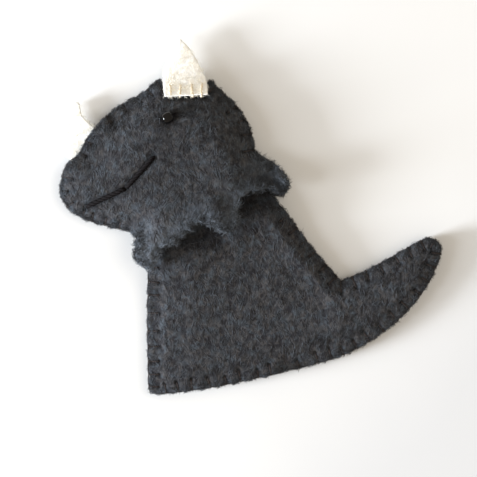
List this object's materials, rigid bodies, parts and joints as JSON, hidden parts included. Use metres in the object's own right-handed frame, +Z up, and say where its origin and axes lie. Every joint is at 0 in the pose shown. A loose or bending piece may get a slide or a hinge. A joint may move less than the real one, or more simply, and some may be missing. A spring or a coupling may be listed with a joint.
{
  "type": "finger puppet",
  "caption": "Hand-sewn dark grey felt finger puppet of a horned dinosaur in profile, with cream felt horns, a bead eye, a scalloped neck frill and a swept-up tail, lying flat.",
  "frame": {"origin": "on the table, under the middle of the whole puppet's footprint", "axes": "+Z up through the front face; +X from the snout towards the tail; +Y from the hem towards the brow horn"},
  "size_m": [0.0964, 0.089, 0.0133],
  "materials": {
    "grey_felt": "matte",
    "cream_felt": "matte",
    "dark_thread": "satin",
    "cream_thread": "satin",
    "black_thread": "satin",
    "black_glass": "polished"
  },
  "bodies": {
    "root": {"body_back": "grey_felt", "body_front": "grey_felt", "head_back": "grey_felt", "head_front": "grey_felt", "brow_horn": "cream_felt", "nose_horn": "cream_felt", "brow_horn_stitch_1": "cream_thread", "brow_horn_stitch_2": "cream_thread", "brow_horn_stitch_3": "cream_thread", "brow_horn_stitch_4": "cream_thread", "eye_bead": "black_glass", "eye_thread": "black_thread", "mouth_thread": "black_thread", "left_seam_thread": "dark_thread", "tail_seam_thread": "dark_thread", "hem_thread_front": "dark_thread", "hem_thread_back": "dark_thread", "snout_seam_thread": "dark_thread", "crown_seam_thread": "dark_thread", "nose_horn_thread_front": "dark_thread", "nose_horn_thread_back": "dark_thread"}
  },
  "joints": []
}
